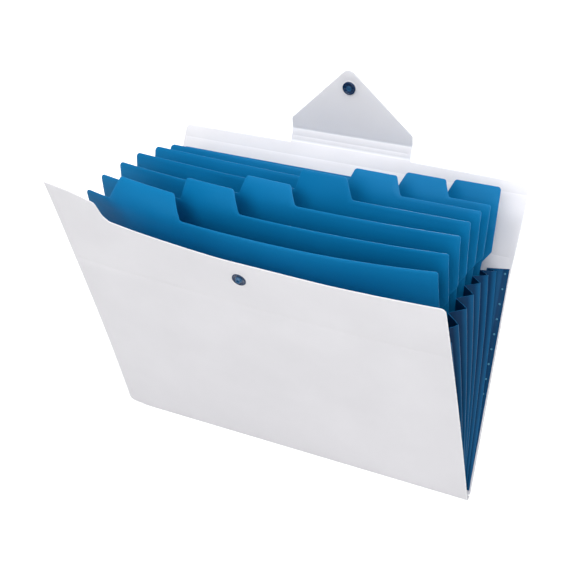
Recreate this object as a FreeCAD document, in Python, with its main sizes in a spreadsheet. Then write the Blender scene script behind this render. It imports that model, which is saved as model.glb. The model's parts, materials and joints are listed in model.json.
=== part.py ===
import FreeCAD, Part
import Sketcher
import math
import os

# Expanding file for letter paper, standing open on its spine.
#
# One creased sheet makes the front cover, the spine, the rear cover, the closing strip and the
# flap. Seven tabbed dividers fan out between the covers. A pleated gusset on each side joins the
# side edges of every sheet, and a four-piece snap closes the flap on the front cover.
#
# Frame: origin under the middle of the spine, X along the spine, +Y to the rear cover, +Z up.
# Every sheet is drawn flat in its own X-Z plane, with its fold line on X, and is then leaned
# about that fold line. A positive lean is towards +Y. All lengths are in millimetres.

DOC = FreeCAD.newDocument("ExpandingFile")
SIZES = DOC.addObject("Spreadsheet::Sheet", "Sizes")

DIVIDERS = 7
SIDES = {"left": -1, "right": 1}

DIMENSIONS = {
    # creased cover sheet
    "cover_width": 330.0,
    "cover_height": 266.0,
    "cover_sheet": 0.7,
    "front_height": 239.5,
    "spine_depth": 7.5,
    "crease_gap": 0.15,
    "fold_round": 0.34,
    "front_corner": 6.0,
    "rear_corner": 4.0,
    "front_lean": -24.7,
    "rear_lean": 22.1,
    # raised ear at the front cover's left end
    "ear_rise": 32.0,
    "ear_width": 49.0,
    "ear_fall": 6.0,
    "ear_slant": 6.0,
    "ear_tip_round": 1.5,
    "ear_shoulder_round": 6.0,
    "ear_foot_round": 20.0,
    # pressed score line across both covers, below the front cover's top edge
    "score_drop": 39.5,
    "score_width": 1.2,
    "score_depth": 0.15,
    # closing strip and flap
    "strip_lean": 15.0,
    "flap_width": 114.0,
    "flap_side": 10.0,
    "flap_beyond_snap": 18.7,
    "flap_peak_round": 7.5,
    "flap_corner": 3.0,
    "flap_lean": -12.0,
    # snap, below the front cover's top edge
    "snap_drop": 20.0,
    "snap_radius": 6.2,
    "snap_rim": 0.4,
    "post_radius": 1.7,
    "post_play": 0.05,
    "hole_play": 0.3,
    "stud_base": 0.9,
    "stud_knob_radius": 2.4,
    "snap_gap": 0.1,
    "socket_thickness": 1.8,
    "socket_floor": 0.5,
    "socket_play": 0.25,
    "socket_dish_radius": 4.6,
    "socket_dish_depth": 0.5,
    "cap_thickness": 1.1,
    "cap_rim": 0.7,
    "inner_cap_thickness": 0.8,
    "inner_cap_radius": 5.6,
    # dividers
    "divider_sheet": 0.4,
    "divider_drop": 19.5,
    "divider_foot": 0.9,
    "divider_ear_width": 6.0,
    "divider_ear_gap": 6.0,
    "divider_ear_rise": 9.0,
    "divider_corner": 3.5,
    "divider_ear_round": 3.0,
    "divider_first_gap": 1.3,
    "tab_slant": 5.5,
    "tab_corner": 3.5,
    "tab_foot_round": 2.5,
    # pleated gussets
    "gusset_sheet": 0.25,
    "gusset_foot": 10.0,
    "gusset_drop": 11.0,
    "gusset_fall": 24.0,
    "gusset_panel": 14.2,
    "gusset_play": 0.15,
    "flange_inset": 2.0,
    "flange_width": 20.85,
    "weld_inset": 3.5,
    "weld_drop": 5.0,
    "weld_radius": 1.2,
    "weld_height": 0.15,
    "weld_pitch": 12.6,
}
DIVIDER_LEANS = (-19.5, -14.4, -8.5, -2.8, 3.7, 9.5, 15.4)
TAB_CENTRES = (-89.5, -44.0, -7.0, 30.0, 59.5, 92.0, 128.0)
TAB_WIDTHS = (49.5, 43.5, 39.5, 38.0, 35.5, 33.0, 37.5)
TAB_RISES = (18.5, 18.5, 16.5, 17.0, 15.0, 13.5, 11.5)
PLEAT_STEPS = 10
WELD_CORNERS = 8
FULL_TURN = 360
CLOSE = 1e-4


# ---------------------------------------------------------------- sheet of sizes

def fill_sizes():
    """Write every driving size into the spreadsheet under its own alias."""
    rows = dict(DIMENSIONS)
    for index in range(DIVIDERS):
        rows[f"divider_lean_{index + 1}"] = DIVIDER_LEANS[index]
        rows[f"tab_centre_{index + 1}"] = TAB_CENTRES[index]
        rows[f"tab_width_{index + 1}"] = TAB_WIDTHS[index]
        rows[f"tab_rise_{index + 1}"] = TAB_RISES[index]
    for row, (alias, value) in enumerate(rows.items(), start=1):
        SIZES.set(f"A{row}", alias)
        SIZES.set(f"B{row}", str(value))
        SIZES.setAlias(f"B{row}", alias)
    DOC.recompute()


def size(expression):
    """The number that an expression of sizes has now."""
    return float(SIZES.evalExpression(expression))


# ---------------------------------------------------------------- drawing helpers

def lean_about_fold(piece, lean, fold_y, fold_z):
    """Tie a piece's placement to its lean and to its fold line."""
    piece.setExpression(".Placement.Rotation.Axis.x", "1")
    piece.setExpression(".Placement.Rotation.Axis.z", "0")
    piece.setExpression(".Placement.Rotation.Angle", f"-({lean})")
    piece.setExpression(".Placement.Base.y", fold_y)
    piece.setExpression(".Placement.Base.z", fold_z)


def new_body(label, lean, fold_y, fold_z):
    """A body drawn flat, whose X axis is its fold line, leaned about that line."""
    body = DOC.addObject("PartDesign::Body", label)
    body.Label = label
    lean_about_fold(body, lean, fold_y, fold_z)
    return body


def origin_plane(body, role):
    return next(item for item in body.Origin.OriginFeatures if item.Role == role)


def new_sketch(body, name, role, offset=None):
    """A sketch on one of the body's own planes, moved by expressions for x, y and z."""
    sketch = body.newObject("Sketcher::SketchObject", f"{body.Label}_{name}")
    sketch.AttachmentSupport = [(origin_plane(body, role), "")]
    sketch.MapMode = "FlatFace"
    for axis, expression in (offset or {}).items():
        sketch.setExpression(f"AttachmentOffset.Base.{axis}", expression)
    return sketch


def draw_outline(sketch, corners):
    """A closed outline whose corners are tied to the sizes. A corner is two expressions."""
    places = [FreeCAD.Vector(size(first), size(second), 0) for first, second in corners]
    count = len(corners)
    for index in range(count):
        line = Part.LineSegment(places[index], places[(index + 1) % count])
        sketch.addGeometry(line, False)
    for index in range(count):
        joint = Sketcher.Constraint("Coincident", index, 2, (index + 1) % count, 1)
        sketch.addConstraint(joint)
    for index, corner in enumerate(corners):
        values = (places[index].x, places[index].y)
        for kind, value, expression in zip(("DistanceX", "DistanceY"), values, corner):
            tie = sketch.addConstraint(Sketcher.Constraint(kind, -1, 1, index, 1, value))
            sketch.renameConstraint(tie, f"{kind}_{index}")
            sketch.setExpression(f"Constraints.{kind}_{index}", expression)
    return sketch


def draw_circle(sketch, centre, radius):
    """A circle whose centre and radius are tied to the sizes."""
    place = FreeCAD.Vector(size(centre[0]), size(centre[1]), 0)
    circle = Part.Circle(place, FreeCAD.Vector(0, 0, 1), size(radius))
    index = sketch.addGeometry(circle, False)
    ties = (
        ("DistanceX", Sketcher.Constraint("DistanceX", -1, 1, index, 3, place.x), centre[0]),
        ("DistanceY", Sketcher.Constraint("DistanceY", -1, 1, index, 3, place.y), centre[1]),
        ("Radius", Sketcher.Constraint("Radius", index, size(radius)), radius),
    )
    for kind, constraint, expression in ties:
        tie = sketch.addConstraint(constraint)
        sketch.renameConstraint(tie, f"{kind}_{index}")
        sketch.setExpression(f"Constraints.{kind}_{index}", expression)
    return sketch


def pad(body, sketch, name, thickness, side="Symmetric", reverse=False):
    feature = body.newObject("PartDesign::Pad", f"{body.Label}_{name}")
    feature.Profile = sketch
    feature.SideType = side
    feature.Reversed = reverse
    feature.setExpression("Length", thickness)
    DOC.recompute()
    return feature


def pocket(body, sketch, name, depth, side="Symmetric", reverse=False):
    feature = body.newObject("PartDesign::Pocket", f"{body.Label}_{name}")
    feature.Profile = sketch
    feature.SideType = side
    feature.Reversed = reverse
    feature.setExpression("Length", depth)
    DOC.recompute()
    return feature


def fillet(body, name, edges, radius):
    """Round the edges of the body's last feature that the test picks."""
    base = body.Tip
    names = [f"Edge{n}" for n, edge in enumerate(base.Shape.Edges, start=1) if edges(edge)]
    feature = body.newObject("PartDesign::Fillet", f"{body.Label}_{name}")
    feature.Base = (base, names)
    feature.setExpression("Radius", radius)
    DOC.recompute()
    return feature


def at_corners(corners):
    """Picks the short edges through a sheet at the given outline corners."""
    places = [(size(first), size(second)) for first, second in corners]

    def picks(edge):
        middle = edge.CenterOfMass
        through = abs(edge.tangentAt(edge.FirstParameter).y) > 0.999
        near = any(abs(middle.x - x) + abs(middle.z - z) < CLOSE for x, z in places)
        return through and near

    return picks


def along_fold(height):
    """Picks the long edges of a sheet that run beside a fold line at a height."""
    level = size(height)

    def picks(edge):
        middle = edge.CenterOfMass
        lengthwise = abs(edge.tangentAt(edge.FirstParameter).x) > 0.999
        return lengthwise and abs(middle.z - level) < CLOSE

    return picks


def round_corners(body, name, corners, radius):
    return fillet(body, name, at_corners(corners), radius)


# ---------------------------------------------------------------- shared places

HALF_WIDTH = "Sizes.cover_width / 2"
SNAP_HEIGHT = "(Sizes.front_height - Sizes.snap_drop)"
SOCKET_HEIGHT = f"(Sizes.cover_height - {SNAP_HEIGHT})"
SCORE_HEIGHT = "(Sizes.front_height - Sizes.score_drop)"
GUSSET_TOP = f"({SCORE_HEIGHT} - Sizes.gusset_drop)"
DIVIDER_TOP = "(Sizes.cover_height - Sizes.divider_drop)"
FLANGE_OUTER = f"({HALF_WIDTH} - Sizes.flange_inset)"
FLANGE_INNER = f"({FLANGE_OUTER} - Sizes.flange_width)"
DIVIDER_HALF = f"({FLANGE_INNER} - Sizes.gusset_play)"
DIVIDER_EAR_HALF = f"({DIVIDER_HALF} + Sizes.divider_ear_width)"
HALF_SHEET = "Sizes.cover_sheet / 2"
SETBACK = "(Sizes.cover_sheet / 2 + Sizes.crease_gap)"
FOLD_LEVEL = "Sizes.cover_sheet / 2"
FRONT_FOLD = "-Sizes.spine_depth / 2"
REAR_FOLD = "Sizes.spine_depth / 2"
FIRST_DIVIDER = (
    "(-Sizes.spine_depth / 2 + Sizes.cover_sheet / 2"
    " + Sizes.divider_first_gap + Sizes.divider_sheet / 2)"
)
LAST_ROOM = "(Sizes.spine_depth / 2 - Sizes.cover_sheet / 2)"


def divider_fold(number):
    """Where a divider stands on the spine: as close as in the closed stack."""
    half = "Sizes.divider_sheet / 2"
    gap = f"({LAST_ROOM} + {half} - {FIRST_DIVIDER}) / {DIVIDERS}"
    return f"({FIRST_DIVIDER} + {number - 1} * {gap})"


def sheet_lean(number):
    """Lean of sheet 0, the front cover, sheets 1 to 7, the dividers, and 8, the rear cover."""
    if number == 0:
        return "Sizes.front_lean"
    if number > DIVIDERS:
        return "Sizes.rear_lean"
    return f"Sizes.divider_lean_{number}"


def sheet_fold(number):
    if number == 0:
        return FRONT_FOLD
    if number > DIVIDERS:
        return REAR_FOLD
    return divider_fold(number)


def film_top(number):
    """Height of the gusset film's top edge on a sheet: it falls away towards the front cover."""
    forward = f"({DIVIDERS + 1 - number} / {DIVIDERS + 1})"
    return f"({GUSSET_TOP} - Sizes.gusset_fall * {forward} ^ 2)"


def sheet_face(number):
    """Distance from a sheet's middle to the face that a gusset pleat meets."""
    if 0 < number <= DIVIDERS:
        return "Sizes.divider_sheet / 2"
    return "Sizes.cover_sheet / 2 + Sizes.gusset_sheet"


# ---------------------------------------------------------------- creased cover sheet

def build_bottom_spine():
    body = new_body("bottom_spine", "0", "0", "0")
    half_depth = f"(Sizes.spine_depth / 2 - {SETBACK})"
    left, right = f"-{HALF_WIDTH}", HALF_WIDTH
    outline = [
        (left, f"-{half_depth}"),
        (right, f"-{half_depth}"),
        (right, half_depth),
        (left, half_depth),
    ]
    sketch = draw_outline(new_sketch(body, "outline", "XY_Plane"), outline)
    pad(body, sketch, "sheet", "Sizes.cover_sheet", "One side")
    return body


def score(body, face, towards_face):
    """A shallow score pressed across a cover, on the face at the given offset."""
    sketch = new_sketch(body, "score_outline", "XZ_Plane", {"z": face})
    reach = f"({HALF_WIDTH} + Sizes.score_width)"
    low = f"{SCORE_HEIGHT} - Sizes.score_width / 2"
    high = f"{SCORE_HEIGHT} + Sizes.score_width / 2"
    draw_outline(sketch, [(f"-{reach}", low), (reach, low), (reach, high), (f"-{reach}", high)])
    pocket(body, sketch, "score", "Sizes.score_depth", "One side", towards_face)


def post_hole(body, height):
    sketch = new_sketch(body, "hole_outline", "XZ_Plane")
    draw_circle(sketch, ("0", height), "Sizes.post_radius + Sizes.hole_play")
    pocket(body, sketch, "hole", "4 * Sizes.cover_sheet")


def build_front_cover():
    """Front cover with its raised ear, the post hole and the score on its outer face."""
    body = new_body("front_cover", "Sizes.front_lean", FRONT_FOLD, FOLD_LEVEL)
    left, right = f"-{HALF_WIDTH}", HALF_WIDTH
    foot = f"-{HALF_SHEET}"
    ear_top = "Sizes.front_height + Sizes.ear_rise"
    tip = (left, ear_top)
    shoulder = (f"{left} + Sizes.ear_width", f"{ear_top} - Sizes.ear_fall")
    ear_foot = (f"{left} + Sizes.ear_width + Sizes.ear_slant", "Sizes.front_height")
    corner = (right, "Sizes.front_height")
    outline = [(left, foot), (right, foot), corner, ear_foot, shoulder, tip]
    sketch = draw_outline(new_sketch(body, "outline", "XZ_Plane"), outline)
    pad(body, sketch, "sheet", "Sizes.cover_sheet")
    round_corners(body, "corner", [corner], "Sizes.front_corner")
    round_corners(body, "ear_foot", [ear_foot], "Sizes.ear_foot_round")
    round_corners(body, "ear_shoulder", [shoulder], "Sizes.ear_shoulder_round")
    round_corners(body, "ear_tip", [tip], "Sizes.ear_tip_round")
    fillet(body, "fold", along_fold(foot), "Sizes.fold_round")
    score(body, HALF_SHEET, False)
    post_hole(body, SNAP_HEIGHT)
    return body


def build_rear_cover():
    """Rear cover, set back at its top edge where the closing strip folds."""
    body = new_body("rear_cover", "Sizes.rear_lean", REAR_FOLD, FOLD_LEVEL)
    left, right = f"-{HALF_WIDTH}", HALF_WIDTH
    foot, top = f"-{HALF_SHEET}", "Sizes.cover_height"
    crease = f"Sizes.cover_height - {SETBACK}"
    notch = "(Sizes.flap_width / 2 + Sizes.crease_gap)"
    corners = [(right, top), (left, top)]
    outline = [(left, foot), (right, foot), corners[0], (notch, top), (notch, crease)]
    outline += [(f"-{notch}", crease), (f"-{notch}", top), corners[1]]
    sketch = draw_outline(new_sketch(body, "outline", "XZ_Plane"), outline)
    pad(body, sketch, "sheet", "Sizes.cover_sheet")
    round_corners(body, "corners", corners, "Sizes.rear_corner")
    fillet(body, "fold", along_fold(foot), "Sizes.fold_round")
    fillet(body, "crease", along_fold(crease), "Sizes.fold_round")
    score(body, HALF_SHEET, False)
    return body


STRIP_DEPTH = (
    "(Sizes.spine_depth + Sizes.cover_sheet + Sizes.stud_base"
    " + Sizes.socket_thickness + Sizes.snap_gap)"
)
STRIP_FOLD_Y = f"({REAR_FOLD} + Sizes.cover_height * sin(Sizes.rear_lean * 1deg))"
STRIP_FOLD_Z = f"({FOLD_LEVEL} + Sizes.cover_height * cos(Sizes.rear_lean * 1deg))"
FLAP_FOLD_Y = f"({STRIP_FOLD_Y} + {STRIP_DEPTH} * sin(Sizes.strip_lean * 1deg))"
FLAP_FOLD_Z = f"({STRIP_FOLD_Z} + {STRIP_DEPTH} * cos(Sizes.strip_lean * 1deg))"


def build_closing_strip():
    body = new_body("closing_strip", "Sizes.strip_lean", STRIP_FOLD_Y, STRIP_FOLD_Z)
    left, right = "-Sizes.flap_width / 2", "Sizes.flap_width / 2"
    foot, top = f"-{HALF_SHEET}", f"{STRIP_DEPTH} - {SETBACK}"
    outline = [(left, foot), (right, foot), (right, top), (left, top)]
    sketch = draw_outline(new_sketch(body, "outline", "XZ_Plane"), outline)
    pad(body, sketch, "sheet", "Sizes.cover_sheet")
    fillet(body, "fold", along_fold(foot), "Sizes.fold_round")
    fillet(body, "crease", along_fold(top), "Sizes.fold_round")
    return body


def build_closing_flap():
    """Pointed flap with short upright sides, a round peak and the post hole."""
    body = new_body("closing_flap", "Sizes.flap_lean", FLAP_FOLD_Y, FLAP_FOLD_Z)
    left, right = "-Sizes.flap_width / 2", "Sizes.flap_width / 2"
    foot = f"-{HALF_SHEET}"
    sides = [(right, "Sizes.flap_side"), (left, "Sizes.flap_side")]
    peak = ("0", f"{SOCKET_HEIGHT} + Sizes.flap_beyond_snap")
    outline = [(left, foot), (right, foot), sides[0], peak, sides[1]]
    sketch = draw_outline(new_sketch(body, "outline", "XZ_Plane"), outline)
    pad(body, sketch, "sheet", "Sizes.cover_sheet")
    round_corners(body, "peak", [peak], "Sizes.flap_peak_round")
    round_corners(body, "corners", sides, "Sizes.flap_corner")
    fillet(body, "fold", along_fold(foot), "Sizes.fold_round")
    post_hole(body, SOCKET_HEIGHT)
    return body


# ---------------------------------------------------------------- dividers

def divider_outline(number):
    """Corners of a divider: narrow between the gussets, with wider ears and its tab above."""
    inner, outer = DIVIDER_HALF, DIVIDER_EAR_HALF
    foot, top = "Sizes.divider_foot", DIVIDER_TOP
    ear_low = f"({GUSSET_TOP} + Sizes.divider_ear_gap)"
    ear_high = f"({ear_low} + Sizes.divider_ear_rise)"
    tab_top = f"({DIVIDER_TOP} + Sizes.tab_rise_{number})"
    centre, half = f"Sizes.tab_centre_{number}", f"Sizes.tab_width_{number} / 2"
    left_top, right_top = (f"{centre} - {half}", tab_top), (f"{centre} + {half}", tab_top)
    left_foot = (f"{centre} - {half} - Sizes.tab_slant", top)
    right_foot = (f"{centre} + {half} + Sizes.tab_slant", top)
    right_end = (outer, top)
    parts = {
        "low": [(f"-{inner}", foot), (inner, foot)],
        "ear_feet": [(inner, ear_low), (outer, ear_high)],
        "far_ear_feet": [(f"-{outer}", ear_high), (f"-{inner}", ear_low)],
        "left_end": [(f"-{outer}", top)],
        "left_foot": [left_foot],
        "tab_top": [left_top, right_top],
        "right_foot": [right_foot],
        "right_end": [right_end],
    }
    if size(f"{right_foot[0]} + Sizes.tab_foot_round + Sizes.divider_corner - {outer}") > 0:
        parts["tab_top"] = [left_top, (outer, tab_top)]
        parts["right_foot"] = []
        parts["right_end"] = []
    return parts


def build_divider(number):
    body = new_body(f"divider_{number}", sheet_lean(number), sheet_fold(number), FOLD_LEVEL)
    parts = divider_outline(number)
    order = ("low", "ear_feet", "right_end", "right_foot")
    outline = [corner for key in order for corner in parts[key]]
    outline += parts["tab_top"][::-1] + parts["left_foot"]
    outline += parts["left_end"] + parts["far_ear_feet"]
    sketch = draw_outline(new_sketch(body, "outline", "XZ_Plane"), outline)
    pad(body, sketch, "sheet", "Sizes.divider_sheet")
    ends = parts["left_end"] + parts["right_end"]
    round_corners(body, "corners", ends, "Sizes.divider_corner")
    round_corners(body, "tab_corners", parts["tab_top"], "Sizes.tab_corner")
    feet = parts["left_foot"] + parts["right_foot"]
    round_corners(body, "tab_feet", feet, "Sizes.tab_foot_round")
    ears = parts["ear_feet"] + parts["far_ear_feet"]
    round_corners(body, "ears", ears, "Sizes.divider_ear_round")
    return body


# ---------------------------------------------------------------- pleated gussets

def pocket_reach(height, number):
    """Half the width of a pocket at a height above its folds, in the pocket's middle frame."""
    front, rear = number - 1, number
    spread = f"(({sheet_lean(rear)} - ({sheet_lean(front)})) / 2 * 1deg)"
    middle = f"(({sheet_lean(rear)} + {sheet_lean(front)}) / 2 * 1deg)"
    folds = f"({sheet_fold(rear)} - ({sheet_fold(front)})) / 2"
    return spread, f"({folds} * cos({middle}) + ({height}) * tan({spread}))"


def pleat_section(height, number, side):
    """Corners of the gusset's V at a height, open to the pocket, in the pocket's middle frame.

    The section climbs from the front sheet to the rear one as steeply as the film's top edge.
    """
    front, rear = number - 1, number
    top = f"(({film_top(front)} + {film_top(rear)}) / 2)"
    spread, top_reach = pocket_reach(top, number)
    reach = pocket_reach(height, number)[1]
    climb = size(f"({film_top(rear)} - {film_top(front)}) / 2 / {top_reach}")
    widening = climb * size(f"tan({spread})")
    near = size(f"{reach} - ({sheet_face(front)} + Sizes.gusset_play) / cos({spread})")
    far = size(f"{reach} - ({sheet_face(rear)} + Sizes.gusset_play) / cos({spread})")
    near /= 1 + widening
    far /= 1 - widening
    panel, film = size("Sizes.gusset_panel"), size("Sizes.gusset_sheet")
    half = (near + far) / 2
    depth = math.sqrt(panel**2 - half**2)
    wall = film * panel / depth
    fold_wall = film * panel / half
    inner = side * size(FLANGE_INNER)
    outer = inner + side * depth
    corners = [
        (inner, -near),
        (outer, 0),
        (inner, far),
        (inner, far - wall),
        (outer - side * fold_wall, 0),
        (inner, wall - near),
    ]
    return [FreeCAD.Vector(x, y, size(height) + climb * y) for x, y in corners]


def flat_face(corners):
    return Part.Face(Part.makePolygon(corners + corners[:1]))


def twisted_solid(sections):
    """A solid through equal sections, with two flat triangles for each side between them.

    The second half of a section runs back along the film's other face, so its triangles are
    split along the other diagonal, which keeps the film's thickness.
    """
    faces = [flat_face(sections[0]), flat_face(sections[-1])]
    count = len(sections[0])
    for low, high in zip(sections, sections[1:]):
        for first in range(count):
            second = (first + 1) % count
            over, under = (high[second], low[first])
            if 2 * first >= count:
                over, under = (high[first], low[second])
            faces.append(flat_face([low[first], low[second], over]))
            faces.append(flat_face([under, high[second], high[first]]))
    shell = Part.Shell(faces)
    shell.sewShape()
    solid = Part.Solid(shell)
    return solid if solid.Volume > 0 else solid.reversed()


def build_pleat(number, side_name):
    """Pleat between sheet number - 1 and sheet number. Its film twists as the V opens upwards."""
    front, rear = number - 1, number
    foot = "Sizes.gusset_foot"
    rise = f"(({film_top(front)} + {film_top(rear)}) / 2 - {foot})"
    heights = [f"{foot} + {rise} * {step} / {PLEAT_STEPS}" for step in range(PLEAT_STEPS + 1)]
    sections = [pleat_section(height, number, SIDES[side_name]) for height in heights]
    pleat = DOC.addObject("Part::Feature", f"gusset_{side_name}_pleat_{number}")
    pleat.Label = pleat.Name
    pleat.Shape = twisted_solid(sections)
    lean = f"(({sheet_lean(front)} + {sheet_lean(rear)}) / 2)"
    fold = f"(({sheet_fold(front)} + {sheet_fold(rear)}) / 2)"
    lean_about_fold(pleat, lean, fold, FOLD_LEVEL)
    return pleat


def weld_outline(side, flange_top):
    """The first weld dot's corners, even round a circle."""
    across = f"{side} * ({FLANGE_OUTER} - Sizes.weld_inset)"
    along = f"({flange_top} - Sizes.weld_drop)"
    turns = [FULL_TURN * (corner + 0.5) / WELD_CORNERS for corner in range(WELD_CORNERS)]
    return [
        (
            f"{across} + Sizes.weld_radius * cos({turn}deg)",
            f"{along} + Sizes.weld_radius * sin({turn}deg)",
        )
        for turn in turns
    ]


def build_flange(cover, side_name):
    """Gusset flange that lies on a cover's inner face, with its row of weld dots."""
    number = 0 if cover == "front" else DIVIDERS + 1
    inward = 1 if cover == "front" else -1
    side = SIDES[side_name]
    label = f"gusset_{side_name}_{cover}_flange"
    body = new_body(label, sheet_lean(number), sheet_fold(number), FOLD_LEVEL)
    inner, outer = f"{side} * {FLANGE_INNER}", f"{side} * {FLANGE_OUTER}"
    low, high = "Sizes.gusset_foot", film_top(number)
    face = f"{-inward} * Sizes.cover_sheet / 2"
    sketch = new_sketch(body, "outline", "XZ_Plane", {"z": face})
    draw_outline(sketch, [(inner, low), (outer, low), (outer, high), (inner, high)])
    pad(body, sketch, "sheet", "Sizes.gusset_sheet", "One side", inward > 0)
    inner_face = f"{-inward} * (Sizes.cover_sheet / 2 + Sizes.gusset_sheet)"
    spot = new_sketch(body, "weld_outline", "XZ_Plane", {"z": inner_face})
    draw_outline(spot, weld_outline(side, high))
    dot = pad(body, spot, "weld", "Sizes.weld_height", "One side", inward > 0)
    pitches = int(size(f"({high} - 2 * Sizes.weld_drop - {low}) / Sizes.weld_pitch"))
    row = body.newObject("PartDesign::LinearPattern", f"{label}_welds")
    row.Originals = [dot]
    row.Direction = (spot, ["V_Axis"])
    row.Reversed = True
    row.Occurrences = pitches + 1
    row.setExpression("Length", f"Sizes.weld_pitch * {pitches}")
    body.Tip = row
    return body


# ---------------------------------------------------------------- snap

def turned(label, lean, fold_y, fold_z, height, profile):
    """A round piece turned about the snap's axis. The profile runs along y and radius."""
    body = new_body(label, lean, fold_y, fold_z)
    sketch = new_sketch(body, "profile", "YZ_Plane", {"y": height})
    draw_outline(sketch, profile)
    turn = body.newObject("PartDesign::Revolution", f"{label}_turn")
    turn.Profile = sketch
    turn.ReferenceAxis = (sketch, ["H_Axis"])
    turn.Angle = FULL_TURN
    DOC.recompute()
    return body


def on_front_cover(label, profile):
    return turned(label, "Sizes.front_lean", FRONT_FOLD, FOLD_LEVEL, SNAP_HEIGHT, profile)


def on_flap(label, profile):
    return turned(label, "Sizes.flap_lean", FLAP_FOLD_Y, FLAP_FOLD_Z, SOCKET_HEIGHT, profile)


POST_BORE = "(Sizes.post_radius + Sizes.post_play)"


def build_cover_snap_stud():
    """Stud on the front cover's outer face: a round base and the hollow knob that snaps in."""
    face = f"-{HALF_SHEET}"
    base = f"({face} - Sizes.stud_base)"
    tip = f"({base} - (Sizes.socket_thickness - Sizes.socket_floor))"
    profile = [
        (face, POST_BORE),
        (face, "Sizes.snap_radius"),
        (f"{base} + Sizes.snap_rim", "Sizes.snap_radius"),
        (base, "Sizes.snap_radius - Sizes.snap_rim"),
        (base, "Sizes.stud_knob_radius"),
        (tip, "Sizes.stud_knob_radius"),
        (tip, POST_BORE),
    ]
    return on_front_cover("cover_snap_stud", profile)


def build_cover_snap_post():
    """Cap inside the front cover, with the post that holds the stud."""
    face = HALF_SHEET
    back = f"({face} + Sizes.inner_cap_thickness)"
    tip = f"(-{HALF_SHEET} - Sizes.stud_base)"
    profile = [
        (back, "0"),
        (back, "Sizes.inner_cap_radius - Sizes.snap_rim"),
        (f"{back} - Sizes.snap_rim", "Sizes.inner_cap_radius"),
        (face, "Sizes.inner_cap_radius"),
        (face, "Sizes.post_radius"),
        (tip, "Sizes.post_radius"),
        (tip, "0"),
    ]
    return on_front_cover("cover_snap_post", profile)


def build_flap_snap_socket():
    """Socket on the flap's inner face: a dished ring with the bore that takes the knob."""
    face = f"-{HALF_SHEET}"
    floor = f"({face} - Sizes.socket_floor)"
    front = f"({face} - Sizes.socket_thickness)"
    bore = "(Sizes.stud_knob_radius + Sizes.socket_play)"
    profile = [
        (face, POST_BORE),
        (face, "Sizes.snap_radius"),
        (f"{front} + Sizes.snap_rim", "Sizes.snap_radius"),
        (front, "Sizes.snap_radius - Sizes.snap_rim"),
        (front, "Sizes.socket_dish_radius"),
        (f"{front} + Sizes.socket_dish_depth", bore),
        (floor, bore),
        (floor, POST_BORE),
    ]
    return on_flap("flap_snap_socket", profile)


def build_flap_snap_cap():
    """Cap on the flap's outer face, with the post that holds the socket."""
    face = HALF_SHEET
    back = f"({face} + Sizes.cap_thickness)"
    tip = f"(-{HALF_SHEET} - Sizes.socket_floor)"
    profile = [
        (back, "0"),
        (back, "Sizes.snap_radius - Sizes.cap_rim"),
        (f"{back} - Sizes.cap_rim", "Sizes.snap_radius"),
        (face, "Sizes.snap_radius"),
        (face, "Sizes.post_radius"),
        (tip, "Sizes.post_radius"),
        (tip, "0"),
    ]
    return on_flap("flap_snap_cap", profile)


# ---------------------------------------------------------------- whole file

def build_all():
    bodies = [
        build_bottom_spine(),
        build_front_cover(),
        build_rear_cover(),
        build_closing_strip(),
        build_closing_flap(),
    ]
    bodies += [build_divider(number) for number in range(1, DIVIDERS + 1)]
    for side_name in SIDES:
        bodies += [build_pleat(number, side_name) for number in range(1, DIVIDERS + 2)]
        bodies += [build_flange(cover, side_name) for cover in ("front", "rear")]
    bodies += [
        build_cover_snap_stud(),
        build_cover_snap_post(),
        build_flap_snap_socket(),
        build_flap_snap_cap(),
    ]
    return bodies


def check(bodies):
    """Stop before anything is written if an object failed or a piece isn't one valid solid."""
    DOC.recompute()
    failed = [item.Name for item in DOC.Objects if {"Invalid", "Error"} & set(item.State)]
    if failed:
        raise RuntimeError(f"failed objects: {failed}")
    for body in bodies:
        shape = body.Shape
        if shape.isNull() or not shape.isValid() or len(shape.Solids) != 1:
            raise RuntimeError(f"{body.Label} isn't one valid solid")


def write(bodies):
    os.makedirs("parts", exist_ok=True)
    for body in bodies:
        body.Shape.exportStep(f"parts/{body.Label}.step")


fill_sizes()
PIECES = build_all()
check(PIECES)
write(PIECES)
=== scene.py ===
import json
import math

import bmesh
import bpy
import numpy as np
from mathutils import Matrix, Vector
from mathutils.geometry import delaunay_2d_cdt


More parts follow.
